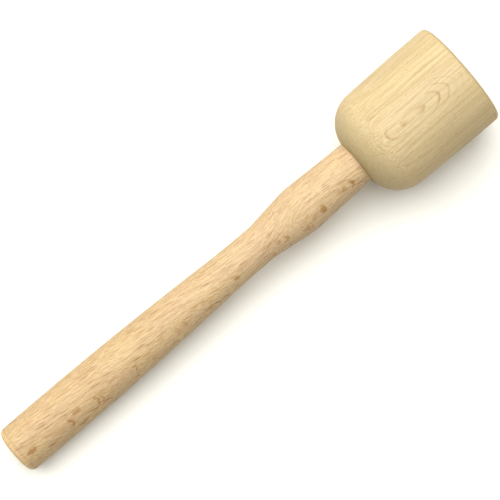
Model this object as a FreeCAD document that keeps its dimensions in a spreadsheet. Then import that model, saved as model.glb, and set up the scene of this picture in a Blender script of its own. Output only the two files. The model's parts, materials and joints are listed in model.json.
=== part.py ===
"""Turned wooden mallet with its head in line with its handle.

Three pieces: a head with an eye bored right through it, a handle whose tenon fills that eye, and a
wedge that spreads the sawn end of the tenon inside the flared mouth of the eye.

Each piece is modelled about its own Z axis, which runs from the striking face (Z = 0) to the butt.
One placement, the same for all three, lays the mallet on its side, head towards +X. It rests there
on the back rim of the head and on the edge of the butt, so its axis slopes down to the butt. The
origin is on the surface it lies on, under the middle of its bounding box. Lengths are in
millimetres and angles in degrees.
"""

import FreeCAD
import Part
import Sketcher
import math
import os

V = FreeCAD.Vector

# alias, value, what it is
DIMENSIONS = [
    ("head_length", 82.6, "striking face to the back of the head"),
    ("head_radius", 34.8, "radius of the head at the striking face"),
    ("head_bend_at", 36.5, "distance from the striking face at which the side starts to draw in"),
    ("head_barrel", 1500.0, "radius of the slight barrel along the side, round that bend"),
    ("head_back_radius", 33.35, "radius that the side would reach at the back, without the shoulder"),
    ("shoulder_round", 22.2, "radius of the round shoulder at the back of the head"),
    ("face_round", 3.0, "round on the edge of the striking face"),
    ("eye_edge", 0.3, "chamfer round the mouths of the eye"),

    ("tenon_radius", 13.75, "radius of the tenon, which fills the eye"),
    ("flare_depth", 48.0, "depth of the flare and of the saw kerf, from the striking face"),
    ("flare_radius", 15.0, "half the long axis of the flared mouth in the striking face"),
    ("kerf_half_open", 2.0, "half the width of the wedged kerf at the striking face"),
    ("kerf_half_saw", 0.8, "half the width of the saw cut at the bottom of the kerf"),
    ("tenon_edge", 0.25, "chamfer on the visible end of the tenon"),
    ("wedge_length", 44.0, "length of the wedge, which stops short of the kerf's bottom"),
    ("wedge_width", 27.0, "width of the wedge, across the tenon"),
    ("wedge_edge", 0.2, "chamfer on the visible end of the wedge"),

    ("overall", 350.0, "striking face to butt"),
    ("swell_at", 127.6, "corner of the swell in front of the hand: distance from the face"),
    ("swell_radius", 15.45, "corner of the swell: radius"),
    ("swell_round", 57.0, "round over the swell"),
    ("waist_from", 156.4, "front corner of the waist: distance from the face"),
    ("waist_to", 178.2, "back corner of the waist: distance from the face"),
    ("waist_radius", 11.73, "radius of the waist, the thinnest part"),
    ("waist_front_round", 28.5, "hollow between the swell's back slope and the waist"),
    ("waist_back_round", 610.0, "long hollow between the waist and the grip"),
    ("grip_from", 258.5, "corner at which the grip reaches its full size: distance from the face"),
    ("grip_radius", 15.54, "radius of the straight end of the grip"),
    ("grip_round", 2650.0, "long round between the waist's slope and the straight end of the grip"),
    ("butt_round", 4.2, "round on the edge of the butt"),
]

SIZE = {alias: value for alias, value, note in DIMENSIONS}

# Each outline is a closed chain of straight lines. A corner is (radius, distance from the striking
# face, round), given by the aliases of its sizes. None is zero: on the axis, on the striking face
# or a sharp corner.
HEAD_OUTLINE = [
    (None, None, None),
    ("head_radius", None, "face_round"),
    ("head_radius", "head_bend_at", "head_barrel"),
    ("head_back_radius", "head_length", "shoulder_round"),
    (None, "head_length", None),
]
SHOULDER = 3

HANDLE_OUTLINE = [
    (None, "flare_depth", None),
    ("tenon_radius", "flare_depth", None),
    ("tenon_radius", "head_length", None),
    ("swell_radius", "swell_at", "swell_round"),
    ("waist_radius", "waist_from", "waist_front_round"),
    ("waist_radius", "waist_to", "waist_back_round"),
    ("grip_radius", "grip_from", "grip_round"),
    ("grip_radius", "overall", "butt_round"),
    (None, "overall", None),
]
BUTT = 7

START, END, CENTRE = 1, 2, 3
AXIS_RADIAL, AXIS_ALONG, ORIGIN_POINT = -1, -2, -1


def make_sheet(doc):
    """The driving dimensions, one in each row: name, value, meaning."""
    sheet = doc.addObject("Spreadsheet::Sheet", "Dimensions")
    for row, (alias, value, note) in enumerate(DIMENSIONS, start=1):
        sheet.set("A%d" % row, alias)
        sheet.set("B%d" % row, str(value))
        sheet.setAlias("B%d" % row, alias)
        sheet.set("C%d" % row, note)
    doc.recompute()


def make_body(doc, label):
    body = doc.addObject("PartDesign::Body", label)
    body.Label = label
    return body


def make_sketch(body, name, role):
    """An empty sketch on one of the body's own origin planes."""
    sketch = body.newObject("Sketcher::SketchObject", name)
    plane = next(f for f in body.Origin.OriginFeatures if f.Role == role)
    sketch.AttachmentSupport = [(plane, "")]
    sketch.MapMode = "FlatFace"
    return sketch


def bind(sketch, constraint, expression):
    """Add a dimension to the sketch and tie it to the sheet."""
    index = sketch.addConstraint(constraint)
    sketch.setExpression("Constraints[%d]" % index, expression)


def hold_point(sketch, geometry, point, radius, along):
    """Hold a point of an outline at its radius and at its distance from the striking face."""
    for alias, kind, axis in ((radius, "DistanceX", AXIS_ALONG), (along, "DistanceY", AXIS_RADIAL)):
        if alias is None:
            sketch.addConstraint(Sketcher.Constraint("PointOnObject", geometry, point, axis))
        else:
            size = Sketcher.Constraint(kind, ORIGIN_POINT, START, geometry, point, SIZE[alias])
            bind(sketch, size, "Dimensions." + alias)


def corner_point(corner):
    radius, along, _ = corner
    return V(SIZE[radius] if radius else 0.0, SIZE[along] if along else 0.0, 0.0)


def corner_arc(outline, index):
    """Start, centre and end of the arc that rounds a corner of an outline."""
    here = corner_point(outline[index])
    back = (corner_point(outline[index - 1]) - here).normalize()
    ahead = (corner_point(outline[index + 1]) - here).normalize()
    radius = SIZE[outline[index][2]]
    half = back.getAngle(ahead) / 2.0
    centre = here + (back + ahead).normalize() * (radius / math.sin(half))
    reach = radius / math.tan(half)
    return here + back * reach, centre, here + ahead * reach


def middle_of_arc(start, centre, end):
    out = (start + end) * 0.5 - centre
    return centre + out.normalize() * (start - centre).Length


def draw_outline(sketch, outline):
    """Draw a closed outline: its lines, the arcs in its rounded corners, and their constraints."""
    count = len(outline)
    rounded = [corner[2] is not None for corner in outline]
    arcs = {i: corner_arc(outline, i) for i in range(count) if rounded[i]}
    lines = []
    for i in range(count):
        after = (i + 1) % count
        start = arcs[i][2] if rounded[i] else corner_point(outline[i])
        end = arcs[after][0] if rounded[after] else corner_point(outline[after])
        lines.append(sketch.addGeometry(Part.LineSegment(start, end), False))
    for i, (radius, along, round_size) in enumerate(outline):
        before, after = lines[i - 1], lines[i]
        if not rounded[i]:
            sketch.addConstraint(Sketcher.Constraint("Coincident", before, END, after, START))
            hold_point(sketch, after, START, radius, along)
            continue
        start, centre, end = arcs[i]
        arc = sketch.addGeometry(Part.Arc(start, middle_of_arc(start, centre, end), end), False)
        first, last = (START, END)
        if (sketch.getPoint(arc, START) - start).Length > (sketch.getPoint(arc, END) - start).Length:
            first, last = (END, START)
        sketch.addConstraint(Sketcher.Constraint("Tangent", before, END, arc, first))
        sketch.addConstraint(Sketcher.Constraint("Tangent", arc, last, after, START))
        bind(sketch, Sketcher.Constraint("Radius", arc, SIZE[round_size]), "Dimensions." + round_size)
        corner = sketch.addGeometry(Part.Point(corner_point(outline[i])), True)
        sketch.addConstraint(Sketcher.Constraint("PointOnObject", corner, START, before))
        sketch.addConstraint(Sketcher.Constraint("PointOnObject", corner, START, after))
        hold_point(sketch, corner, START, radius, along)


def turn(body, name, outline):
    """Turn an outline about the body's axis."""
    sketch = make_sketch(body, name + "Outline", "XZ_Plane")
    draw_outline(sketch, outline)
    turning = body.newObject("PartDesign::Revolution", name + "Turning")
    turning.Profile = sketch
    turning.ReferenceAxis = (sketch, ["V_Axis"])
    turning.Angle = 360.0


def draw_bore(body, name):
    """The round section of the eye, as deep in the head as the flare reaches."""
    sketch = make_sketch(body, name, "XY_Plane")
    sketch.setExpression("AttachmentOffset.Base.z", "Dimensions.flare_depth")
    circle = sketch.addGeometry(Part.Circle(V(0, 0, 0), V(0, 0, 1), SIZE["tenon_radius"]), False)
    sketch.addConstraint(Sketcher.Constraint("Coincident", circle, CENTRE, ORIGIN_POINT, START))
    bind(sketch, Sketcher.Constraint("Radius", circle, SIZE["tenon_radius"]), "Dimensions.tenon_radius")
    return sketch


def draw_mouth(body, name):
    """The oval section of the eye at the striking face."""
    sketch = make_sketch(body, name, "XY_Plane")
    wide, narrow = SIZE["flare_radius"], SIZE["tenon_radius"]
    oval = sketch.addGeometry(Part.Ellipse(V(wide, 0, 0), V(0, narrow, 0), V(0, 0, 0)), False)
    sketch.exposeInternalGeometry(oval)
    long_axis, short_axis = oval + 1, oval + 2
    sketch.addConstraint(Sketcher.Constraint("Coincident", oval, CENTRE, ORIGIN_POINT, START))
    sketch.addConstraint(Sketcher.Constraint("Horizontal", long_axis))
    bind(sketch, Sketcher.Constraint("Distance", long_axis, 2 * wide), "2 * Dimensions.flare_radius")
    bind(sketch, Sketcher.Constraint("Distance", short_axis, 2 * narrow), "2 * Dimensions.tenon_radius")
    return sketch


def flare(body, name, kind):
    """The flared stretch of the eye or of the tenon: an oval at the face, round where it ends."""
    loft = body.newObject("PartDesign::" + kind, name)
    loft.Profile = draw_bore(body, name + "Round")
    loft.Sections = [draw_mouth(body, name + "Oval")]
    loft.Ruled = True
    return loft


def draw_taper(body, name, length):
    """The kerf's tapered outline from the striking face inwards, down to the given length."""
    sketch = make_sketch(body, name, "XZ_Plane")
    face_half, bottom_half, deep = SIZE["kerf_half_open"], SIZE["kerf_half_saw"], SIZE[length]
    end_half = face_half - (face_half - bottom_half) * deep / SIZE["flare_depth"]
    corners = [V(-face_half, 0, 0), V(face_half, 0, 0), V(end_half, deep, 0), V(-end_half, deep, 0)]
    sides = []
    for here, after in zip(corners, corners[1:] + corners[:1]):
        sides.append(sketch.addGeometry(Part.LineSegment(here, after), False))
    for side, after in zip(sides, sides[1:] + sides[:1]):
        sketch.addConstraint(Sketcher.Constraint("Coincident", side, END, after, START))
    face, end = sides[0], sides[2]
    sketch.addConstraint(Sketcher.Constraint("Symmetric", face, START, face, END, AXIS_ALONG))
    sketch.addConstraint(Sketcher.Constraint("Symmetric", end, START, end, END, AXIS_ALONG))
    sketch.addConstraint(Sketcher.Constraint("PointOnObject", face, START, AXIS_RADIAL))
    bind(sketch, Sketcher.Constraint("Distance", face, 2 * face_half), "2 * Dimensions.kerf_half_open")
    narrowing = "(Dimensions.kerf_half_open - Dimensions.kerf_half_saw) * Dimensions.%s" % length
    end_width = "2 * (Dimensions.kerf_half_open - %s / Dimensions.flare_depth)" % narrowing
    bind(sketch, Sketcher.Constraint("Distance", end, 2 * end_half), end_width)
    depth = Sketcher.Constraint("DistanceY", ORIGIN_POINT, START, end, START, deep)
    bind(sketch, depth, "Dimensions." + length)
    return sketch


def edges_between(shape, low, high, least_radius, most_radius):
    """Names of the edges that stay between two planes across the axis and between two radii."""
    slack = 0.01
    names = []
    for number, edge in enumerate(shape.Edges, start=1):
        points = edge.discretize(9)
        heights = [point.z for point in points]
        radii = [math.hypot(point.x, point.y) for point in points]
        in_height = min(heights) > low - slack and max(heights) < high + slack
        in_radius = min(radii) > least_radius - slack and max(radii) < most_radius + slack
        if in_height and in_radius:
            names.append("Edge%d" % number)
    return names


def chamfer(body, name, edges, size):
    """Break some edges of the body as it is so far."""
    base = body.Tip
    feature = body.newObject("PartDesign::Chamfer", name)
    feature.Base = (base, edges)
    feature.setExpression("Size", "Dimensions." + size)


def build_head(doc):
    """The turned block, its eye bored right through, and the eye flared towards the striking face."""
    body = make_body(doc, "head")
    turn(body, "Head", HEAD_OUTLINE)
    bore = body.newObject("PartDesign::Pocket", "Eye")
    bore.Profile = draw_bore(body, "EyeBore")
    bore.Type = "ThroughAll"
    bore.Reversed = True
    flare(body, "EyeFlare", "SubtractiveLoft")
    doc.recompute()
    radius = SIZE["tenon_radius"]
    mouths = edges_between(body.Shape, 0.0, 0.0, radius, SIZE["flare_radius"])
    mouths += edges_between(body.Shape, SIZE["flare_depth"] + 1.0, SIZE["head_length"], radius, radius)
    chamfer(body, "EyeEdges", mouths, "eye_edge")
    return body


def build_handle(doc):
    """The turned handle, the flared end of its tenon, and the kerf sawn in it."""
    body = make_body(doc, "handle")
    turn(body, "Handle", HANDLE_OUTLINE)
    flare(body, "TenonFlare", "AdditiveLoft")
    doc.recompute()
    end = edges_between(body.Shape, 0.0, 0.0, SIZE["tenon_radius"], SIZE["flare_radius"])
    chamfer(body, "TenonEdge", end, "tenon_edge")
    kerf = body.newObject("PartDesign::Pocket", "Kerf")
    kerf.Profile = draw_taper(body, "KerfOutline", "flare_depth")
    kerf.Type = "ThroughAll"
    kerf.SideType = "Symmetric"
    return body


def build_wedge(doc):
    """The wedge that fills the kerf, a little narrower than the tenon."""
    body = make_body(doc, "wedge")
    pad = body.newObject("PartDesign::Pad", "Wedge")
    pad.Profile = draw_taper(body, "WedgeOutline", "wedge_length")
    pad.SideType = "Symmetric"
    pad.setExpression("Length", "Dimensions.wedge_width")
    doc.recompute()
    end = edges_between(body.Shape, 0.0, 0.0, 0.0, SIZE["wedge_width"])
    chamfer(body, "WedgeEdge", end, "wedge_edge")
    return body


def resting_tilt():
    """Slope of the axis when the shoulder's arc and the butt's arc both touch the ground."""
    shoulder = corner_arc(HEAD_OUTLINE, SHOULDER)[1]
    butt = corner_arc(HANDLE_OUTLINE, BUTT)[1]
    apart = butt - shoulder
    drop = math.asin((SIZE["shoulder_round"] - SIZE["butt_round"]) / apart.Length)
    return math.degrees(drop - math.atan2(apart.x, apart.y))


def lay_down(bodies):
    """Lay the pieces on the ground, head towards +X, and centre their common box on the origin."""
    tilt = resting_tilt()
    turn_down = FreeCAD.Rotation(V(0, 1, 0), -(90.0 + tilt))
    pieces = [body.Shape.copy() for body in bodies]
    for piece in pieces:
        piece.Placement = FreeCAD.Placement(V(0, 0, 0), turn_down)
    box = Part.Compound(pieces).optimalBoundingBox(False)
    place = FreeCAD.Placement(V(-box.Center.x, -box.Center.y, -box.ZMin), turn_down)
    for body in bodies:
        body.Placement = place
    print("axis slopes %.4f degrees; face centre at %s; box %s" % (tilt, place.Base, box))


def check(doc, bodies):
    """Stop unless every object was computed and every piece is one closed valid solid."""
    for item in doc.Objects:
        if "Invalid" in item.State or "Error" in item.State:
            raise RuntimeError("%s failed: %s" % (item.Name, item.State))
    for body in bodies:
        shape = body.Shape
        if shape.isNull() or not shape.isValid() or len(shape.Solids) != 1:
            raise RuntimeError("%s isn't one valid solid" % body.Label)
        print("%s: %.1f cm3" % (body.Label, shape.Volume / 1000.0))


def check_cuts(bodies):
    """Stop unless each cut removed wood and the flared tenon is as large as the flared eye."""
    volume = {}
    for body in bodies:
        volume.update({item.Name: item.Shape.Volume for item in body.Group if "Outline" not in item.Name})
    bored = volume["HeadTurning"] - volume["Eye"]
    flared = volume["Eye"] - volume["EyeFlare"]
    grown = volume["TenonFlare"] - volume["HandleTurning"]
    sawn = volume["TenonEdge"] - volume["Kerf"]
    if min(bored, flared, sawn) <= 0.0 or abs(flared - grown) > 0.001 * flared:
        raise RuntimeError("a cut is missing: %s" % [bored, flared, grown, sawn])


def main():
    doc = FreeCAD.newDocument("Mallet")
    make_sheet(doc)
    bodies = [build_head(doc), build_handle(doc), build_wedge(doc)]
    doc.recompute()
    lay_down(bodies)
    doc.recompute()
    check(doc, bodies)
    check_cuts(bodies)
    os.makedirs("parts", exist_ok=True)
    for body in bodies:
        body.Shape.exportStep("parts/%s.step" % body.Label)


main()
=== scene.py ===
"""Looks of the turned wooden mallet: dense meshes of its three pieces in solid procedural wood.

The mallet lies on a pale floor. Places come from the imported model, whose two flat mounts give the
mallet's own axis. Lengths along the axis are counted from the striking face towards the butt.
"""

import json
import math
from collections import namedtuple

import bmesh
import bpy
from mathutils import Matrix, Vector


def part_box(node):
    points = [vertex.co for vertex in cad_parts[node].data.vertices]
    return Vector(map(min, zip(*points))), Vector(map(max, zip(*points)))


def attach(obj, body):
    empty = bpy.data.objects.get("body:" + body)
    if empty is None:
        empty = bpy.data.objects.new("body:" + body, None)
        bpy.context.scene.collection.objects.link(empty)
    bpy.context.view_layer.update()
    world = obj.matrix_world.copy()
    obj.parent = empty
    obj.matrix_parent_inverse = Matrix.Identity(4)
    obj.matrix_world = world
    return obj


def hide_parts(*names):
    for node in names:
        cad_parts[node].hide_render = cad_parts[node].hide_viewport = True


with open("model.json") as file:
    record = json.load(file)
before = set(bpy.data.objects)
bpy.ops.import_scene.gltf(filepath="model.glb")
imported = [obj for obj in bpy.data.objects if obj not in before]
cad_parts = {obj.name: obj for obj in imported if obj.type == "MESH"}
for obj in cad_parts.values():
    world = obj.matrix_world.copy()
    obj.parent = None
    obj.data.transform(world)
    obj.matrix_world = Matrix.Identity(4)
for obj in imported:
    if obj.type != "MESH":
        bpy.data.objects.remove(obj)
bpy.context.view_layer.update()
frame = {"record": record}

MM = 0.001

MOUNTS = {mount["name"]: mount for mount in frame["record"]["mounts"]}
FACE = Vector(MOUNTS["striking_face"]["pos_m"])
TO_HEAD = Vector(MOUNTS["striking_face"]["axis"]).normalized()
SIDE = Vector((0.0, 1.0, 0.0))
UP = TO_HEAD.cross(SIDE)
OVERALL = (Vector(MOUNTS["butt_face"]["pos_m"]) - FACE).length
HEAD_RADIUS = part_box("head")[1].y
GRIP_RADIUS = MOUNTS["grip_end"]["dims"]["r_mm"] * MM

# The head
HEAD_LENGTH = 82.6 * MM
HEAD_BEND_AT = 36.5 * MM
HEAD_BARREL = 1500.0 * MM
HEAD_BACK_RADIUS = 33.35 * MM
SHOULDER_ROUND = 22.2 * MM
FACE_ROUND = 3.0 * MM
EYE_EDGE = 0.3 * MM

# The joint inside the head
TENON_RADIUS = 13.75 * MM
TENON_EDGE = 0.25 * MM
FLARE_RADIUS = 15.0 * MM
FLARE_DEPTH = 48.0 * MM
KERF_HALF_OPEN = 2.0 * MM
KERF_HALF_SAW = 0.8 * MM
KERF_PAST = 2.0 * MM
KERF_SLOPE = (KERF_HALF_OPEN - KERF_HALF_SAW) / FLARE_DEPTH
WEDGE_LENGTH = 44.0 * MM
WEDGE_WIDTH = 27.0 * MM
WEDGE_EDGE = 0.2 * MM

# The handle
SWELL_AT = 127.6 * MM
SWELL_RADIUS = 15.45 * MM
SWELL_ROUND = 57.0 * MM
WAIST_FROM = 156.4 * MM
WAIST_TO = 178.2 * MM
WAIST_RADIUS = 11.73 * MM
WAIST_FRONT_ROUND = 28.5 * MM
WAIST_BACK_ROUND = 610.0 * MM
GRIP_FROM = 258.5 * MM
GRIP_ROUND = 2650.0 * MM
BUTT_ROUND = 4.2 * MM

# Corners of the turned outlines: (radius, distance from the striking face, round)
HEAD_CORNERS = [
    (0.0, 0.0, 0.0),
    (HEAD_RADIUS, 0.0, FACE_ROUND),
    (HEAD_RADIUS, HEAD_BEND_AT, HEAD_BARREL),
    (HEAD_BACK_RADIUS, HEAD_LENGTH, SHOULDER_ROUND),
    (0.0, HEAD_LENGTH, 0.0),
]
HANDLE_CORNERS = [
    (TENON_RADIUS - TENON_EDGE, 0.0, 0.0),
    (TENON_RADIUS, TENON_EDGE, 0.0),
    (TENON_RADIUS, HEAD_LENGTH, 0.0),
    (SWELL_RADIUS, SWELL_AT, SWELL_ROUND),
    (WAIST_RADIUS, WAIST_FROM, WAIST_FRONT_ROUND),
    (WAIST_RADIUS, WAIST_TO, WAIST_BACK_ROUND),
    (GRIP_RADIUS, GRIP_FROM, GRIP_ROUND),
    (GRIP_RADIUS, OVERALL, BUTT_ROUND),
    (0.0, OVERALL, 0.0),
]

# How finely the meshes are divided
OUTLINE_STEP = 1.0 * MM
CAP_STEP = 2.5 * MM
ARC_STEPS = 8
TURN_STEPS = 144
CLOSE = 0.02 * MM
TURNED_SHARP = math.radians(35.0)
SAWN_SHARP = math.radians(25.0)


# ---------------------------------------------------------------- shapes


def place(across_up, across_side, along):
    """Row frame position of a point given across the mallet's own axis and along it."""
    return FACE + UP * across_up + SIDE * across_side - TO_HEAD * along


def corner_arc(before, here, after, rounding):
    """Points along the arc that rounds a corner, tangent to both of its sides."""
    back = (before - here).normalized()
    ahead = (after - here).normalized()
    half = back.angle(ahead) / 2.0
    reach = rounding / math.tan(half)
    centre = here + (back + ahead).normalized() * (rounding / math.sin(half))
    start = here + back * reach - centre
    end = here + ahead * reach - centre
    sweep = math.pi - 2.0 * half
    steps = max(ARC_STEPS, math.ceil(sweep * rounding / OUTLINE_STEP))
    points = []
    for i in range(steps + 1):
        share = i / steps
        turned = start * math.sin((1.0 - share) * sweep) + end * math.sin(share * sweep)
        points.append(centre + turned / math.sin(sweep))
    return points


def rounded_outline(corners):
    """The outline with its rounded corners as arcs."""
    flat = [Vector((radius, along)) for radius, along, _ in corners]
    points = []
    for i, (_, _, rounding) in enumerate(corners):
        if rounding:
            points += corner_arc(flat[i - 1], flat[i], flat[i + 1], rounding)
        else:
            points.append(flat[i])
    return points


def divided(points):
    """The same line with its long runs divided up."""
    close = [points[0]]
    for target in points[1:]:
        start = close[-1]
        gap = target - start
        steps = max(1, math.ceil(gap.length / OUTLINE_STEP))
        close += [start + gap * (i / steps) for i in range(1, steps + 1)]
    return close


def outside(points, radius):
    """The part of a line that lies further than a radius from the axis, with exact ends."""
    kept = [point for point in points if point.x > radius]
    first, last = points.index(kept[0]), points.index(kept[-1])
    ends = []
    for inner, outer in ((points[first - 1], kept[0]), (points[last + 1], kept[-1])):
        ends.append(inner.lerp(outer, (radius - inner.x) / (outer.x - inner.x)))
    return [ends[0]] + kept + [ends[1]]


def flare(radius, along):
    """Stretch of the tenon and its eye across the wedge, largest in the striking face."""
    if radius > FLARE_RADIUS or along >= FLARE_DEPTH:
        return 1.0
    spread = (FLARE_RADIUS - TENON_RADIUS) * (1.0 - along / FLARE_DEPTH)
    return (TENON_RADIUS + spread) / TENON_RADIUS


def add_ring(mesh, point):
    """One ring of vertices round the axis through an outline point."""
    radius, along = point
    stretch = flare(radius, along)
    ring = []
    for i in range(TURN_STEPS):
        angle = 2.0 * math.pi * i / TURN_STEPS
        across = radius * stretch * math.cos(angle)
        ring.append(mesh.verts.new(place(across, radius * math.sin(angle), along)))
    return ring


def join_rings(mesh, first, second):
    """A band of quads between two closed loops of as many vertices."""
    for i in range(len(first)):
        j = (i + 1) % len(first)
        mesh.faces.new((first[i], first[j], second[j], second[i]))


def cap_with_rings(mesh, ring, radius, along):
    """Closes a ring with finer rings and a middle point, so that a flat end keeps even faces."""
    steps = math.ceil(radius / CAP_STEP)
    for i in range(1, steps):
        inner = add_ring(mesh, (radius * (1.0 - i / steps), along))
        join_rings(mesh, ring, inner)
        ring = inner
    middle = mesh.verts.new(place(0.0, 0.0, along))
    for i in range(TURN_STEPS):
        mesh.faces.new((ring[i], ring[(i + 1) % TURN_STEPS], middle))


def tapered_block(half_start, half_end, half_width, start, end):
    """Mesh of a block that thins along the mallet's axis, from start to end."""
    mesh = bmesh.new()
    loops = []
    for along, half in ((start, half_start), (end, half_end)):
        corners = [(-1, -1), (1, -1), (1, 1), (-1, 1)]
        loops.append([mesh.verts.new(place(half * up, half_width * side, along))
                      for up, side in corners])
        mesh.faces.new(loops[-1])
    join_rings(mesh, *loops)
    return mesh


def add_piece(name, mesh, material):
    """Turns the worked mesh into an object with outward faces."""
    bmesh.ops.recalc_face_normals(mesh, faces=mesh.faces)
    data = bpy.data.meshes.new(name)
    mesh.to_mesh(data)
    mesh.free()
    data.materials.append(material)
    piece = bpy.data.objects.new(name, data)
    bpy.context.scene.collection.objects.link(piece)
    return piece


def shade_smooth(piece, sharp_angle):
    """Smooth shading, with sharp edges kept where faces meet at more than an angle."""
    piece.data.shade_smooth()
    piece.data.set_sharp_from_angle(angle=sharp_angle)


def cut_away(piece, tool):
    """Takes one object out of another for good and removes the tool."""
    cut = piece.modifiers.new("cut", "BOOLEAN")
    cut.operation = "DIFFERENCE"
    cut.solver = "EXACT"
    cut.object = tool
    evaluated = piece.evaluated_get(bpy.context.evaluated_depsgraph_get())
    result = bpy.data.meshes.new_from_object(evaluated)
    piece.modifiers.clear()
    piece.data = result
    bpy.data.objects.remove(tool)
    split_many_sided(result)


def split_many_sided(data):
    """Joins points that a cut leaves too close, and splits its many-sided faces evenly."""
    mesh = bmesh.new()
    mesh.from_mesh(data)
    bmesh.ops.remove_doubles(mesh, verts=mesh.verts, dist=CLOSE)
    many_sided = [face for face in mesh.faces if len(face.verts) > 4]
    bmesh.ops.triangulate(mesh, faces=many_sided, ngon_method="BEAUTY")
    mesh.to_mesh(data)
    mesh.free()


# ---------------------------------------------------------------- pieces


def turned_head(material):
    """The head as one closed ring of wood round its eye."""
    mesh = bmesh.new()
    skin = outside(divided(rounded_outline(HEAD_CORNERS)), TENON_RADIUS + EYE_EDGE)
    eye = [Vector((TENON_RADIUS, skin[-1].y - EYE_EDGE)), Vector((TENON_RADIUS, EYE_EDGE))]
    rings = [add_ring(mesh, point) for point in divided(skin + eye)]
    for first, second in zip(rings, rings[1:] + rings[:1]):
        join_rings(mesh, first, second)
    piece = add_piece("turned_head", mesh, material)
    shade_smooth(piece, TURNED_SHARP)
    return piece


def kerf_solid():
    """The wood that the saw and the wedge take out of the tenon, with room past its sides."""
    half_past = KERF_HALF_OPEN + KERF_SLOPE * KERF_PAST
    half_width = FLARE_RADIUS + KERF_PAST
    mesh = tapered_block(half_past, KERF_HALF_SAW, half_width, -KERF_PAST, FLARE_DEPTH)
    return add_piece("kerf", mesh, None)


def turned_handle(material):
    """The handle as one closed solid, its tenon sawn down the middle for the wedge."""
    mesh = bmesh.new()
    outline = divided(rounded_outline(HANDLE_CORNERS))
    flat_from = next(i for i, point in enumerate(outline) if point.y > OVERALL - CLOSE)
    rings = [add_ring(mesh, point) for point in outline[: flat_from + 1]]
    for first, second in zip(rings, rings[1:]):
        join_rings(mesh, first, second)
    mesh.faces.new(rings[0])
    cap_with_rings(mesh, rings[-1], outline[flat_from].x, OVERALL)
    piece = add_piece("turned_handle", mesh, material)
    cut_away(piece, kerf_solid())
    shade_smooth(piece, TURNED_SHARP)
    return piece


def driven_wedge(material):
    """The tapered hardwood wedge, with its edges just broken."""
    half_end = KERF_HALF_OPEN - KERF_SLOPE * WEDGE_LENGTH
    mesh = tapered_block(KERF_HALF_OPEN, half_end, WEDGE_WIDTH / 2.0, 0.0, WEDGE_LENGTH)
    edges = mesh.edges[:]
    bmesh.ops.bevel(mesh, geom=edges, offset=WEDGE_EDGE, segments=2, profile=0.5, affect="EDGES")
    piece = add_piece("driven_wedge", mesh, material)
    shade_smooth(piece, SAWN_SHARP)
    return piece


# ---------------------------------------------------------------- material nodes


def rgb(red, green, blue):
    return (red, green, blue, 1.0)


# Noise that darkens wood. Size is (up, side, along) in millimetres. The wood takes the tone where
# the noise, 0 to 1, passes from low to high
Layer = namedtuple("Layer", "size detail roughness low high tone")

# Spindle-shaped spots in a share of the cells of a grid, whose cells are (up, side, along) in
# millimetres. Size is a spot's radius as a share of its cell
Flecks = namedtuple("Flecks", "cell size share strength tone")


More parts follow.
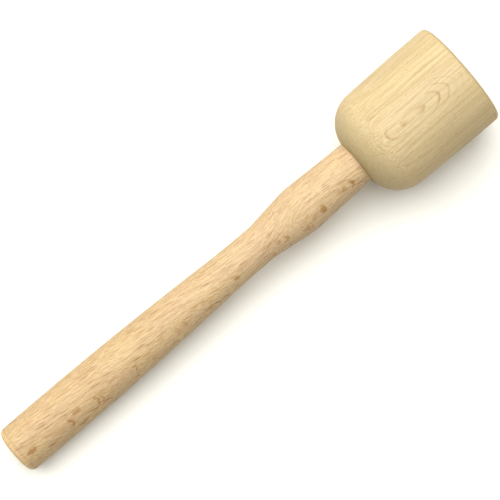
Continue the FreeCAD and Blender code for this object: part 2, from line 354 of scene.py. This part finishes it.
class Graph:
    """Short calls for the nodes of one material or of the world."""

    def __init__(self, owner):
        owner.use_nodes = True
        self.owner = owner
        self.tree = owner.node_tree
        self.tree.nodes.clear()

    def node(self, kind, **settings):
        made = self.tree.nodes.new(kind)
        for key, value in settings.items():
            setattr(made, key, value)
        return made

    def feed(self, socket, value):
        """Links a node's output to an input, or sets a plain value on the input itself."""
        if isinstance(value, bpy.types.NodeSocket):
            self.tree.links.new(value, socket)
        else:
            socket.default_value = value

    def math(self, operation, *values):
        made = self.node("ShaderNodeMath", operation=operation)
        for socket, value in zip(made.inputs, values):
            self.feed(socket, value)
        return made.outputs[0]

    def plus(self, first, second):
        return self.math("ADD", first, second)

    def minus(self, first, second):
        return self.math("SUBTRACT", first, second)

    def times(self, first, *others):
        for other in others:
            first = self.math("MULTIPLY", first, other)
        return first

    def unsigned(self, value):
        """The value without its sign."""
        return self.math("ABSOLUTE", value)

    def vector(self, operation, *values):
        made = self.node("ShaderNodeVectorMath", operation=operation)
        for socket, value in zip(made.inputs, values):
            self.feed(socket, value)
        return made.outputs["Value" if operation in ("LENGTH", "DOT_PRODUCT") else "Vector"]

    def combine(self, x, y, z):
        made = self.node("ShaderNodeCombineXYZ")
        for socket, value in zip(made.inputs, (x, y, z)):
            self.feed(socket, value)
        return made.outputs[0]

    def separate(self, vector):
        made = self.node("ShaderNodeSeparateXYZ")
        self.feed(made.inputs[0], vector)
        return made.outputs[0], made.outputs[1], made.outputs[2]

    def smooth(self, value, low, high, at_low=0.0, at_high=1.0):
        """Eases from one value to another as the input passes from low to high."""
        made = self.node("ShaderNodeMapRange", interpolation_type="SMOOTHSTEP")
        for socket, number in zip(made.inputs, (value, low, high, at_low, at_high)):
            self.feed(socket, number)
        return made.outputs[0]

    def noise(self, vector, size, detail=2.0, roughness=0.5):
        """Smooth noise, 0 to 1, with features about as large as size in each direction."""
        return self.colour_noise(vector, size, detail, roughness).outputs[0]

    def colour_noise(self, vector, size, detail=2.0, roughness=0.5):
        """The noise node itself, whose colour output is three noises in one."""
        made = self.node("ShaderNodeTexNoise")
        self.feed(made.inputs["Vector"], self.vector("DIVIDE", vector, size))
        self.feed(made.inputs["Scale"], 1.0)
        self.feed(made.inputs["Detail"], detail)
        self.feed(made.inputs["Roughness"], roughness)
        return made

    def line_noise(self, value, size):
        """Smooth noise, 0 to 1, along a single number."""
        made = self.node("ShaderNodeTexNoise", noise_dimensions="1D")
        self.feed(made.inputs["W"], self.math("DIVIDE", value, size))
        self.feed(made.inputs["Scale"], 1.0)
        self.feed(made.inputs["Detail"], 1.0)
        return made.outputs[0]

    def step_noise(self, value):
        """A random number, 0 to 1, for each whole number."""
        made = self.node("ShaderNodeTexWhiteNoise", noise_dimensions="1D")
        self.feed(made.inputs["W"], value)
        return made.outputs["Value"]

    def mix(self, amount, first, second, blend_type="MIX"):
        """One colour blended towards another."""
        made = self.node("ShaderNodeMix", data_type="RGBA", blend_type=blend_type)
        factor, colour_a, colour_b = made.inputs[0], made.inputs[6], made.inputs[7]
        self.feed(factor, amount)
        self.feed(colour_a, first)
        self.feed(colour_b, second)
        return made.outputs[2]

    def tint(self, colour, amount, tone):
        """The colour multiplied by a tone where amount is high."""
        return self.mix(amount, colour, tone, "MULTIPLY")

    def pattern(self, wood, layer):
        return self.noise(wood, layer.size, layer.detail, layer.roughness)

    def darken(self, colour, pattern, layer, where=1.0):
        """The colour with a layer's tone over it, in the places where its pattern is high."""
        amount = self.smooth(pattern, layer.low, layer.high)
        return self.tint(colour, self.times(amount, where), layer.tone)

    def spots(self, wood, flecks):
        """The flecks as spots, 0 to their strength."""
        made = self.node("ShaderNodeTexVoronoi")
        self.feed(made.inputs["Vector"], self.vector("DIVIDE", wood, flecks.cell))
        self.feed(made.inputs["Scale"], 1.0)
        spot = self.smooth(made.outputs["Distance"], flecks.size * 0.6, flecks.size, 1.0, 0.0)
        chance = self.separate(made.outputs["Color"])[0]
        kept = self.smooth(chance, 1.0 - flecks.share, 1.0 - flecks.share * 0.3)
        return self.times(spot, kept, flecks.strength)

    def finish(self, colour, roughness, height, depth, specular):
        """The shader: a plain surface with fine relief, depth in metres."""
        bump = self.node("ShaderNodeBump")
        self.feed(bump.inputs["Height"], height)
        self.feed(bump.inputs["Distance"], depth)
        shader = self.node("ShaderNodeBsdfPrincipled")
        self.feed(shader.inputs["Base Color"], colour)
        self.feed(shader.inputs["Roughness"], roughness)
        self.feed(shader.inputs["Specular IOR Level"], specular)
        self.feed(shader.inputs["Normal"], bump.outputs[0])
        output = self.node("ShaderNodeOutputMaterial")
        self.feed(output.inputs["Surface"], shader.outputs[0])
        return self.owner


# ---------------------------------------------------------------- what the pieces share

# Lengths inside the wood are in millimetres, as wood_space gives them: up, side and along
GRAIN_RELIEF = 0.03 * MM
BEECH_SPECULAR = 0.3
LATE_WOOD_FROM = 0.66
LATE_WOOD_FULL = 0.94
LEAST_RING_STRENGTH = 0.65
JOINT_WIDTH = 0.5

END_PORE = (0.28, 0.28, 3.0)
END_PORE_STRENGTH = 0.6
END_PORE_DEPTH = 0.8


def wood_space(graph):
    """Place in the wood in millimetres: up, towards +Y, and along from the striking face."""
    turned = Matrix((UP, SIDE, -TO_HEAD))
    coordinates = graph.node("ShaderNodeTexCoord")
    mapping = graph.node("ShaderNodeMapping")
    graph.feed(mapping.inputs["Vector"], coordinates.outputs["Object"])
    mapping.inputs["Rotation"].default_value = turned.to_euler()
    mapping.inputs["Scale"].default_value = (1.0 / MM,) * 3
    mapping.inputs["Location"].default_value = (turned @ FACE) * (-1.0 / MM)
    return mapping.outputs[0]


def facing_along(graph):
    """How squarely the surface is cut across the grain: 0 along it, 1 on an end."""
    coordinates = graph.node("ShaderNodeTexCoord")
    return graph.unsigned(graph.vector("DOT_PRODUCT", coordinates.outputs["Normal"], tuple(TO_HEAD)))


def varied(graph, value, noise, amount):
    """The value shifted either way by up to half the amount."""
    return graph.plus(value, graph.times(graph.minus(noise, 0.5), amount))


def ring_lines(graph, distance, spacing, unevenness):
    """Late-wood lines, 0 to 1, that darken slowly across each growth ring and end sharply."""
    drift = graph.line_noise(distance, spacing * 2.7)
    count = varied(graph, graph.math("DIVIDE", distance, spacing), drift, unevenness)
    part = graph.math("FRACT", count)
    rise = graph.smooth(part, LATE_WOOD_FROM, LATE_WOOD_FULL)
    fall = graph.smooth(part, LATE_WOOD_FULL, 1.0, 1.0, 0.0)
    chance = graph.step_noise(graph.math("FLOOR", count))
    strength = graph.math("MULTIPLY_ADD", chance, 1.0 - LEAST_RING_STRENGTH, LEAST_RING_STRENGTH)
    return graph.times(rise, fall, strength)


def end_pores(graph, wood, end):
    """Open pores, 0 to 1, only where the wood is cut square across."""
    pores = graph.smooth(graph.noise(wood, END_PORE, 1.0), 0.50, 0.68)
    return graph.times(pores, graph.smooth(end, 0.7, 0.97))


def joint_shadow(graph, up, side, along):
    """Painted shade in the narrow gap where the handle comes out of the head, with a little glue, 0
    to 1.
    """
    back = HEAD_LENGTH / MM
    tenon = TENON_RADIUS / MM
    radius = graph.vector("LENGTH", graph.combine(up, side, 0.0))
    near = graph.smooth(radius, tenon + 0.2, tenon + JOINT_WIDTH, 1.0, 0.0)
    before = graph.smooth(along, back - 2.0, back - 1.0)
    after = graph.smooth(along, back, back + JOINT_WIDTH, 1.0, 0.0)
    return graph.times(near, before, after)


# ---------------------------------------------------------------- the head's wood

# Growth rings are bowl-shaped shells, lowest under HEAD_RINGS_ALONG and HEAD_RINGS_SIDE, so that the
# head's top cuts them in nested ovals
HEAD_RINGS_ALONG = 44.3
HEAD_RINGS_SIDE = -0.7
HEAD_BOW_RADIUS = 109.5
HEAD_RING_CURVE = 0.022
HEAD_RING = 1.6
HEAD_FIRST_RING = 0.79
HEAD_EVEN_RINGS = 6.0
HEAD_UNEVENNESS = 1.1
HEAD_WANDER = (9.0, 9.0, 26.0)
HEAD_WANDER_BY = 0.5
HEAD_WOBBLE = (2.0, 2.0, 9.0)
HEAD_WOBBLE_BY = 0.28

HEAD_PALE = rgb(0.580, 0.452, 0.228)
HEAD_DULL = rgb(0.550, 0.434, 0.240)
HEAD_RING_TONE = rgb(0.70, 0.57, 0.40)
# Darker end grain, deepened as painted shade on the shoulder
HEAD_END_GRAIN_AND_SHADE = rgb(0.81, 0.81, 0.78)
HEAD_FACE_TONE = rgb(0.98, 0.93, 0.87)
HEAD_PORE_TONE = rgb(0.70, 0.60, 0.48)
HEAD_RIM_TONE = rgb(1.0, 0.97, 0.86)
# Painted shade in the gap where the handle comes out of the head
HEAD_JOINT_SHADE = rgb(0.80, 0.71, 0.58)
HEAD_FACE_DEPTH = 3.0
HEAD_RIM_DEPTH = 9.0
HEAD_TIPS_FROM = 9.0
HEAD_TIPS_FULL = 20.0
HEAD_CLOUD = (18.0, 18.0, 45.0)
HEAD_SEAM_BREAK = (5.0, 5.0, 24.0)
HEAD_RING_BREAK = (4.0, 4.0, 11.0)

HEAD_FIBRES = Layer((0.55, 0.55, 70.0), 2.0, 0.7, 0.38, 0.66, rgb(0.80, 0.77, 0.71))
HEAD_GRAINS = Layer((0.45, 0.45, 2.2), 1.0, 0.6, 0.35, 0.70, rgb(0.90, 0.89, 0.86))
HEAD_BANDS = Layer((2.2, 2.2, 70.0), 2.0, 0.6, 0.40, 0.68, rgb(0.94, 0.92, 0.88))
HEAD_SEAMS = Layer((1.2, 1.2, 110.0), 1.0, 0.5, 0.57, 0.70, rgb(0.84, 0.80, 0.73))
HEAD_RAYS = Layer((7.0, 0.35, 25.0), 2.0, 0.5, 0.50, 0.68, rgb(0.86, 0.80, 0.72))
HEAD_FLECKS = Flecks((3.0, 0.9, 5.5), 0.28, 0.30, 0.6, rgb(0.80, 0.68, 0.54))


def head_rings(graph, wood, face):
    """Growth rings: the tips of nested ovals on the head's top, and arcs on its face."""
    up, side, along = graph.separate(wood)
    aside = graph.minus(side, HEAD_RINGS_SIDE)
    across = graph.times(aside, aside, HEAD_RING_CURVE)
    offset = graph.minus(along, HEAD_RINGS_ALONG)
    bow = graph.times(offset, offset, 0.5 / HEAD_BOW_RADIUS)
    depth = graph.minus(HEAD_RADIUS / MM - HEAD_FIRST_RING, up)
    distance = graph.plus(graph.plus(across, bow), depth)
    distance = varied(graph, distance, graph.noise(wood, HEAD_WANDER, 1.0), HEAD_WANDER_BY)
    distance = varied(graph, distance, graph.noise(wood, HEAD_WOBBLE, 1.0), HEAD_WOBBLE_BY)
    uneven = graph.smooth(distance, HEAD_EVEN_RINGS, HEAD_EVEN_RINGS * 2.0, 0.0, HEAD_UNEVENNESS)
    lines = ring_lines(graph, distance, HEAD_RING, uneven)
    broken = graph.smooth(graph.noise(wood, HEAD_RING_BREAK), 0.35, 0.60, 0.35, 1.0)
    beside = graph.math("DIVIDE", graph.unsigned(aside), graph.plus(graph.unsigned(offset), 0.5))
    tips = graph.smooth(beside, 0.16, 0.42, 1.0, 0.14)
    fading = graph.smooth(along, HEAD_TIPS_FROM, HEAD_TIPS_FULL, 0.2, 1.0)
    shown = graph.math("MAXIMUM", graph.times(broken, tips, fading), face)
    return graph.times(lines, shown)


def head_seams(graph, wood, side):
    """Where the long dark seams show, 0 to 1: broken up, and stronger towards +Y."""
    broken = graph.smooth(graph.noise(wood, HEAD_SEAM_BREAK, 1.0), 0.35, 0.6, 0.3, 1.0)
    return graph.times(broken, graph.smooth(side, -8.0, 6.0, 0.4, 1.0))


def head_wood():
    """Pale plain beech, with darker end grain on the face and shoulder, deepened there as painted
    shade.
    """
    graph = Graph(bpy.data.materials.new("head_beech"))
    wood = wood_space(graph)
    up, side, along = graph.separate(wood)
    end = facing_along(graph)
    side_grain = graph.smooth(end, 0.15, 0.7, 1.0, 0.4)
    near_face = graph.smooth(along, 0.0, HEAD_FACE_DEPTH, 1.0, 0.0)
    face = graph.times(near_face, graph.smooth(end, 0.6, 0.95))
    rings = graph.times(head_rings(graph, wood, face), graph.math("MAXIMUM", side_grain, face))
    fibres = graph.pattern(wood, HEAD_FIBRES)
    pores = end_pores(graph, wood, end)

    colour = graph.mix(graph.noise(wood, HEAD_CLOUD), HEAD_PALE, HEAD_DULL)
    colour = graph.tint(colour, rings, HEAD_RING_TONE)
    colour = graph.darken(colour, fibres, HEAD_FIBRES, side_grain)
    seams_shown = graph.times(head_seams(graph, wood, side), side_grain)
    colour = graph.darken(colour, graph.pattern(wood, HEAD_SEAMS), HEAD_SEAMS, seams_shown)
    colour = graph.darken(colour, graph.pattern(wood, HEAD_GRAINS), HEAD_GRAINS, side_grain)
    colour = graph.darken(colour, graph.pattern(wood, HEAD_BANDS), HEAD_BANDS)
    colour = graph.tint(colour, graph.spots(wood, HEAD_FLECKS), HEAD_FLECKS.tone)

    # Darker end grain, deepened as painted shade on the shoulder
    colour = graph.tint(colour, graph.smooth(end, 0.2, 0.7), HEAD_END_GRAIN_AND_SHADE)
    colour = graph.tint(colour, face, HEAD_FACE_TONE)
    colour = graph.darken(colour, graph.pattern(wood, HEAD_RAYS), HEAD_RAYS, face)
    colour = graph.tint(colour, graph.times(pores, END_PORE_STRENGTH), HEAD_PORE_TONE)
    rim = graph.smooth(along, 1.0, HEAD_RIM_DEPTH, 0.3, 0.0)
    colour = graph.tint(colour, rim, HEAD_RIM_TONE)
    # Painted shade in the gap at the joint
    colour = graph.tint(colour, joint_shadow(graph, up, side, along), HEAD_JOINT_SHADE)

    roughness = graph.smooth(fibres, 0.2, 0.8, 0.60, 0.72)
    height = graph.plus(graph.times(fibres, -0.7), graph.times(rings, -0.5))
    height = graph.minus(height, graph.times(pores, END_PORE_DEPTH))
    return graph.finish(colour, roughness, height, GRAIN_RELIEF, BEECH_SPECULAR)


# ---------------------------------------------------------------- the handle's wood

HANDLE_RINGS_TURN = math.radians(-34.0)
HANDLE_RING_CURVE = 0.012
HANDLE_RING_LEAN = 0.06
HANDLE_RING = 2.3
HANDLE_UNEVENNESS = 0.6
HANDLE_WANDER = (7.0, 7.0, 30.0)
HANDLE_WANDER_BY = 1.6
HANDLE_WOBBLE = (1.5, 1.5, 9.0)
HANDLE_WOBBLE_BY = 0.8
HANDLE_RING_BREAK = (3.0, 3.0, 12.0)
RAY_TURN = math.radians(15.0)
GRAIN_LEAN = 0.14
GRAIN_RIPPLE = 0.7
GRAIN_RIPPLE_LENGTH = 68.0
SWELL_TURN_AT = 139.0
SWELL_TURN_LENGTH = 17.0
SWELL_TURN = 0.58

HANDLE_PALE = rgb(0.580, 0.432, 0.230)
HANDLE_PINK = rgb(0.562, 0.408, 0.230)
HANDLE_RING_TONE = rgb(0.88, 0.80, 0.70)
HANDLE_END_RING_TONE = rgb(0.78, 0.68, 0.56)
HANDLE_MARK_TONE = rgb(0.66, 0.47, 0.28)
# Painted shade that darkens the handle towards the butt
HANDLE_BUTTWARD_SHADE = rgb(0.945, 0.930, 0.870)
# Painted highlight on the butt's rounded edge
BUTT_EDGE_HIGHLIGHT = rgb(1.20, 1.22, 1.13)
# Painted shade in the crease where the butt's round begins
BUTT_CREASE_SHADE = rgb(0.82, 0.72, 0.60)
HANDLE_PORE_TONE = rgb(0.68, 0.56, 0.44)
# Painted shade in the gap where the handle comes out of the head
HANDLE_JOINT_SHADE = rgb(0.78, 0.68, 0.54)
# Where the painted shade towards the butt begins and where it is full, in millimetres along
BUTTWARD_SHADE_FROM = 150.0
BUTTWARD_SHADE_FULL = 280.0
BUTT_FROM = 340.0
BUTT_FULL = 347.0
HANDLE_CLOUD = (9.0, 9.0, 28.0)

HANDLE_FIBRES = Layer((0.45, 0.45, 14.0), 2.0, 0.7, 0.40, 0.62, rgb(0.765, 0.725, 0.665))
HANDLE_GRAINS = Layer((0.45, 0.45, 2.2), 1.0, 0.6, 0.35, 0.70, rgb(0.88, 0.86, 0.82))
HANDLE_BANDS = Layer((1.8, 1.8, 45.0), 2.0, 0.6, 0.40, 0.68, rgb(0.97, 0.95, 0.92))
LARGE_FLECKS = Flecks((7.5, 0.9, 16.0), 0.29, 0.50, 1.0, rgb(0.60, 0.42, 0.29))
SMALL_FLECKS = Flecks((3.0, 0.65, 8.0), 0.29, 0.50, 0.8, rgb(0.72, 0.55, 0.40))

MARK_RADIUS = 15.0
MARK_RAGGED = (1.3, 1.3, 2.2)
MARK_RAGGEDNESS = (4.2, 3.0, 0.0)

# Brown marks where a growth ring or a large ray comes out at the surface. Crescents open towards
# the butt. (along, degrees round from the top towards -Y, length, width, strength, crescent)
BROWN_MARKS = [
    (95.0, 35.0, 3.0, 2.6, 0.85, True),
    (99.0, 33.0, 1.8, 1.6, 0.60, False),
    (116.0, 36.0, 2.4, 3.4, 0.90, False),
    (131.0, 49.0, 2.6, 1.6, 0.60, False),
    (146.0, 35.0, 3.4, 2.4, 0.60, True),
    (149.0, 30.0, 1.8, 1.8, 0.50, False),
    (182.0, 34.0, 2.6, 1.6, 0.80, False),
    (205.0, 48.0, 3.4, 1.8, 0.50, False),
    (224.0, 32.0, 2.4, 2.6, 0.50, True),
    (230.0, 32.0, 2.4, 2.6, 0.45, True),
    (263.0, 33.0, 2.2, 2.2, 0.60, True),
    (289.5, 35.0, 2.2, 2.4, 0.60, True),
    (292.5, 33.0, 2.4, 2.8, 0.80, True),
    (305.0, 19.0, 3.4, 1.8, 0.65, False),
    (306.0, 55.0, 3.8, 1.4, 0.65, False),
    (313.0, 33.0, 2.6, 2.8, 0.80, True),
    (340.0, 23.0, 3.8, 1.8, 0.85, False),
    (108.0, -142.0, 3.0, 2.0, 0.55, False),
    (127.0, -118.0, 2.6, 2.4, 0.60, True),
    (133.0, 150.0, 3.2, 1.8, 0.60, False),
    (172.0, -136.0, 3.0, 1.6, 0.60, False),
    (214.0, 158.0, 2.4, 2.4, 0.55, True),
    (243.0, -128.0, 3.4, 1.6, 0.60, False),
    (271.0, -146.0, 2.4, 2.6, 0.65, True),
    (276.0, -143.0, 2.2, 2.2, 0.50, True),
    (322.0, 149.0, 3.4, 1.8, 0.60, False),
]


def handle_grain(graph, wood):
    """The wood straightened out: its fibres lean across the handle and turn back at the swell."""
    up, side, along = graph.separate(wood)
    offset = graph.math("DIVIDE", graph.minus(along, SWELL_TURN_AT), SWELL_TURN_LENGTH)
    turn = graph.times(graph.math("TANH", offset), SWELL_TURN * SWELL_TURN_LENGTH)
    ripple = graph.math("SINE", graph.times(along, 2.0 * math.pi / GRAIN_RIPPLE_LENGTH))
    lean = graph.minus(graph.times(along, GRAIN_LEAN), turn)
    lean = graph.plus(lean, graph.times(ripple, GRAIN_RIPPLE))
    return graph.combine(up, graph.minus(side, lean), along)


def turned_about_axis(graph, vector, angle):
    made = graph.node("ShaderNodeVectorRotate", rotation_type="Z_AXIS")
    graph.feed(made.inputs["Vector"], vector)
    graph.feed(made.inputs["Angle"], -angle)
    return made.outputs[0]


def handle_rings(graph, wood, grain):
    """Growth rings that run out between the handle's top and its -Y side in long tongues."""
    outward, across, along = graph.separate(turned_about_axis(graph, wood, HANDLE_RINGS_TURN))
    curve = graph.times(across, across, HANDLE_RING_CURVE)
    leaning = graph.math("MULTIPLY_ADD", along, HANDLE_RING_LEAN, outward)
    distance = graph.minus(leaning, curve)
    distance = varied(graph, distance, graph.noise(grain, HANDLE_WANDER), HANDLE_WANDER_BY)
    distance = varied(graph, distance, graph.noise(grain, HANDLE_WOBBLE), HANDLE_WOBBLE_BY)
    lines = ring_lines(graph, distance, HANDLE_RING, HANDLE_UNEVENNESS)
    broken = graph.smooth(graph.noise(grain, HANDLE_RING_BREAK), 0.35, 0.60, 0.2, 1.0)
    return graph.times(lines, broken)


def crescent(graph, apart, size, strength):
    """An open ring round a mark's centre, 0 to its strength, without its half towards the butt."""
    edge = graph.smooth(graph.unsigned(graph.minus(size, 0.85)), 0.12, 0.48, strength, 0.0)
    ahead = graph.smooth(graph.separate(apart)[0], -0.5, 0.3, 1.0, 0.0)
    return graph.times(edge, ahead)


def brown_marks(graph, wood):
    """The large brown marks on the handle, 0 to 1, with ragged edges."""
    up, side, along = graph.separate(wood)
    round_angle = graph.math("ARCTAN2", graph.times(side, -1.0), up)
    unrolled = graph.combine(along, graph.times(round_angle, MARK_RADIUS), 0.0)
    ragged = graph.colour_noise(wood, MARK_RAGGED).outputs["Color"]
    shift = graph.vector("SUBTRACT", ragged, (0.5, 0.5, 0.5))
    spot = graph.vector("ADD", unrolled, graph.vector("MULTIPLY", shift, MARK_RAGGEDNESS))
    total = 0.0
    for mark_along, degrees, length, width, strength, is_crescent in BROWN_MARKS:
        centre = (mark_along, math.radians(degrees) * MARK_RADIUS, 0.0)
        apart = graph.vector("SUBTRACT", spot, centre)
        apart = graph.vector("DIVIDE", apart, (length, width, 1.0))
        size = graph.vector("LENGTH", apart)
        if is_crescent:
            mark = crescent(graph, apart, size, strength)
        else:
            mark = graph.smooth(size, 0.55, 1.15, strength, 0.0)
        total = graph.math("MAXIMUM", mark, total)
    return total


def butt_tones(graph, colour, rings, along, end):
    """The butt: a painted highlight on its rounded edge, painted shade in the crease, and cut rings.
    """
    near_butt = graph.smooth(along, BUTT_FROM, BUTT_FULL)
    butt = graph.times(near_butt, graph.smooth(end, 0.10, 0.6))
    cut_end = graph.smooth(end, 0.80, 0.98)
    # Painted highlight on the rounded edge
    edge = graph.times(butt, graph.smooth(end, 0.80, 0.98, 1.0, 0.0))
    colour = graph.tint(colour, edge, BUTT_EDGE_HIGHLIGHT)
    colour = graph.tint(colour, graph.times(rings, cut_end), HANDLE_END_RING_TONE)
    # Painted shade in the crease where the round begins
    from_crease = graph.unsigned(graph.minus(along, (OVERALL - BUTT_ROUND) / MM))
    return graph.tint(colour, graph.smooth(from_crease, 0.1, 0.7, 0.5, 0.0), BUTT_CREASE_SHADE)


def handle_wood():
    """Pinker, steamed beech with dark ray flecks, a few large marks and painted shade towards the
    butt.
    """
    graph = Graph(bpy.data.materials.new("handle_beech"))
    wood = wood_space(graph)
    grain = handle_grain(graph, wood)
    rays = turned_about_axis(graph, grain, RAY_TURN)
    up, side, along = graph.separate(wood)
    end = facing_along(graph)
    rings = handle_rings(graph, wood, grain)
    fibres = graph.pattern(grain, HANDLE_FIBRES)
    pores = end_pores(graph, wood, end)
    flecks = graph.times(graph.spots(rays, LARGE_FLECKS), graph.smooth(end, 0.4, 0.9, 1.0, 0.25))

    clouds = graph.smooth(graph.noise(wood, HANDLE_CLOUD), 0.3, 0.7)
    colour = graph.mix(clouds, HANDLE_PALE, HANDLE_PINK)
    colour = graph.tint(colour, rings, HANDLE_RING_TONE)
    colour = graph.darken(colour, fibres, HANDLE_FIBRES)
    colour = graph.darken(colour, graph.pattern(grain, HANDLE_GRAINS), HANDLE_GRAINS)
    colour = graph.darken(colour, graph.pattern(grain, HANDLE_BANDS), HANDLE_BANDS)
    colour = graph.tint(colour, graph.spots(rays, SMALL_FLECKS), SMALL_FLECKS.tone)
    colour = graph.tint(colour, flecks, LARGE_FLECKS.tone)
    colour = graph.tint(colour, brown_marks(graph, wood), HANDLE_MARK_TONE)

    # Painted shade, darker towards the butt
    colour = graph.tint(colour, graph.smooth(along, BUTTWARD_SHADE_FROM, BUTTWARD_SHADE_FULL), HANDLE_BUTTWARD_SHADE)
    colour = butt_tones(graph, colour, rings, along, end)
    colour = graph.tint(colour, graph.times(pores, END_PORE_STRENGTH), HANDLE_PORE_TONE)
    # Painted shade in the gap at the joint
    colour = graph.tint(colour, joint_shadow(graph, up, side, along), HANDLE_JOINT_SHADE)

    roughness = graph.smooth(fibres, 0.2, 0.8, 0.56, 0.68)
    height = graph.math("MULTIPLY_ADD", flecks, -1.2, graph.times(fibres, -0.7))
    height = graph.minus(height, graph.times(pores, END_PORE_DEPTH))
    return graph.finish(colour, roughness, height, GRAIN_RELIEF, BEECH_SPECULAR)


# ---------------------------------------------------------------- the wedge's wood

WEDGE_PALE = rgb(0.40, 0.22, 0.10)
WEDGE_DARK = rgb(0.27, 0.135, 0.06)
WEDGE_FIBRE = (0.4, 0.4, 12.0)
WEDGE_PORES = Layer((0.22, 0.22, 3.0), 1.0, 0.5, 0.52, 0.66, rgb(0.5, 0.4, 0.3))
WEDGE_SPECULAR = 0.4


def wedge_wood():
    """Darker hardwood, seen only as its end in the striking face."""
    graph = Graph(bpy.data.materials.new("wedge_hardwood"))
    wood = wood_space(graph)
    fibres = graph.noise(wood, WEDGE_FIBRE, 3.0, 0.6)
    pores = graph.pattern(wood, WEDGE_PORES)
    colour = graph.mix(graph.smooth(fibres, 0.3, 0.7), WEDGE_PALE, WEDGE_DARK)
    colour = graph.darken(colour, pores, WEDGE_PORES, 0.7)
    roughness = graph.smooth(fibres, 0.2, 0.8, 0.45, 0.6)
    height = graph.minus(fibres, graph.smooth(pores, WEDGE_PORES.low, WEDGE_PORES.high))
    return graph.finish(colour, roughness, height, GRAIN_RELIEF, WEDGE_SPECULAR)


# ---------------------------------------------------------------- stage

FLOOR_HALF = 6.0
FLOOR_TONE = rgb(0.80, 0.785, 0.68)
FLOOR_PALER_TONE = rgb(0.82, 0.805, 0.70)
FLOOR_SPECKLE = 0.02
FLOOR_RELIEF = 0.01 * MM
FLOOR_ROUGHNESS = 0.9
FLOOR_SPECULAR = 0.1

# The key light comes from above, tilted towards +Y and leant a little towards the head
KEY_ANGLE = math.radians(72.0)
KEY_STRENGTH = 5.85
KEY_TILT = 0.39
KEY_LEAN = 0.1
KEY_TONE = (1.0, 1.0, 1.07)

HORIZON = 0.55
ZENITH = 0.05
HORIZON_HEIGHT = 0.2
WORLD_TONE = rgb(1.0, 0.99, 0.93)

# The mallet climbs at VIEW_SLOPE in the picture, which is VIEW_WIDTH wide at the mallet's axis
VIEW_SLOPE = math.radians(40.4)
VIEW_DISTANCE = 1.45
VIEW_WIDTH = 0.2984
VIEW_CENTRE_ALONG = 165.0 * MM
VIEW_CENTRE_SIDE = 1.13 * MM
SENSOR = 36.0


def floor_material():
    graph = Graph(bpy.data.materials.new("pale_floor"))
    coordinates = graph.node("ShaderNodeTexCoord")
    speckle = graph.noise(coordinates.outputs["Object"], (FLOOR_SPECKLE,) * 3, 3.0)
    colour = graph.mix(speckle, FLOOR_TONE, FLOOR_PALER_TONE)
    return graph.finish(colour, FLOOR_ROUGHNESS, speckle, FLOOR_RELIEF, FLOOR_SPECULAR)


def make_floor():
    mesh = bmesh.new()
    bmesh.ops.create_grid(mesh, x_segments=1, y_segments=1, size=FLOOR_HALF)
    floor = add_piece("floor", mesh, floor_material())


def aim(thing, place_at, right, up, back):
    """Puts a camera or light in place, looking against back with its own right and up."""
    turned = Matrix((right, up, back)).transposed()
    thing.matrix_world = Matrix.Translation(place_at) @ turned.to_4x4()


def make_camera():
    """Straight above the mallet, square to its axis, with its head at the upper right."""
    data = bpy.data.cameras.new("view")
    data.sensor_width = SENSOR
    data.lens = SENSOR * VIEW_DISTANCE / VIEW_WIDTH
    data.clip_start = 0.05
    data.clip_end = 50.0
    camera = bpy.data.objects.new("view", data)
    bpy.context.scene.collection.objects.link(camera)
    target = FACE - TO_HEAD * VIEW_CENTRE_ALONG + SIDE * VIEW_CENTRE_SIDE
    right = TO_HEAD * math.cos(VIEW_SLOPE) - SIDE * math.sin(VIEW_SLOPE)
    up = TO_HEAD * math.sin(VIEW_SLOPE) + SIDE * math.cos(VIEW_SLOPE)
    aim(camera, target + UP * VIEW_DISTANCE, right, up, UP)
    bpy.context.scene.camera = camera


def make_key():
    """One very wide soft light from above."""
    data = bpy.data.lights.new("key", "SUN")
    data.angle = KEY_ANGLE
    data.energy = KEY_STRENGTH
    data.color = KEY_TONE
    light = bpy.data.objects.new("key", data)
    bpy.context.scene.collection.objects.link(light)
    back = (TO_HEAD * KEY_LEAN + SIDE * KEY_TILT + UP).normalized()
    right = UP.cross(back).normalized()
    aim(light, FACE + UP, right, back.cross(right), back)


def make_world():
    """Dim room light, brighter low down than overhead."""
    world = bpy.data.worlds.new("room")
    graph = Graph(world)
    direction = graph.node("ShaderNodeTexCoord").outputs["Generated"]
    height = graph.separate(direction)[2]
    strength = graph.smooth(height, 0.0, HORIZON_HEIGHT, HORIZON, ZENITH)
    background = graph.node("ShaderNodeBackground")
    graph.feed(background.inputs["Color"], WORLD_TONE)
    graph.feed(background.inputs["Strength"], strength)
    output = graph.node("ShaderNodeOutputWorld")
    graph.feed(output.inputs["Surface"], background.outputs[0])
    bpy.context.scene.world = world


def make_stage():
    make_floor()
    make_camera()
    make_key()
    make_world()
    bpy.context.scene.view_settings.view_transform = "Standard"


# ---------------------------------------------------------------- assembly


def add_to_mallet(piece, node):
    """A piece stands in for its CAD node, which is hidden, and hangs from the mallet's body."""
    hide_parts(node)
    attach(piece, "root")


add_to_mallet(turned_head(head_wood()), "head")
add_to_mallet(turned_handle(handle_wood()), "handle")
add_to_mallet(driven_wedge(wedge_wood()), "wedge")
make_stage()
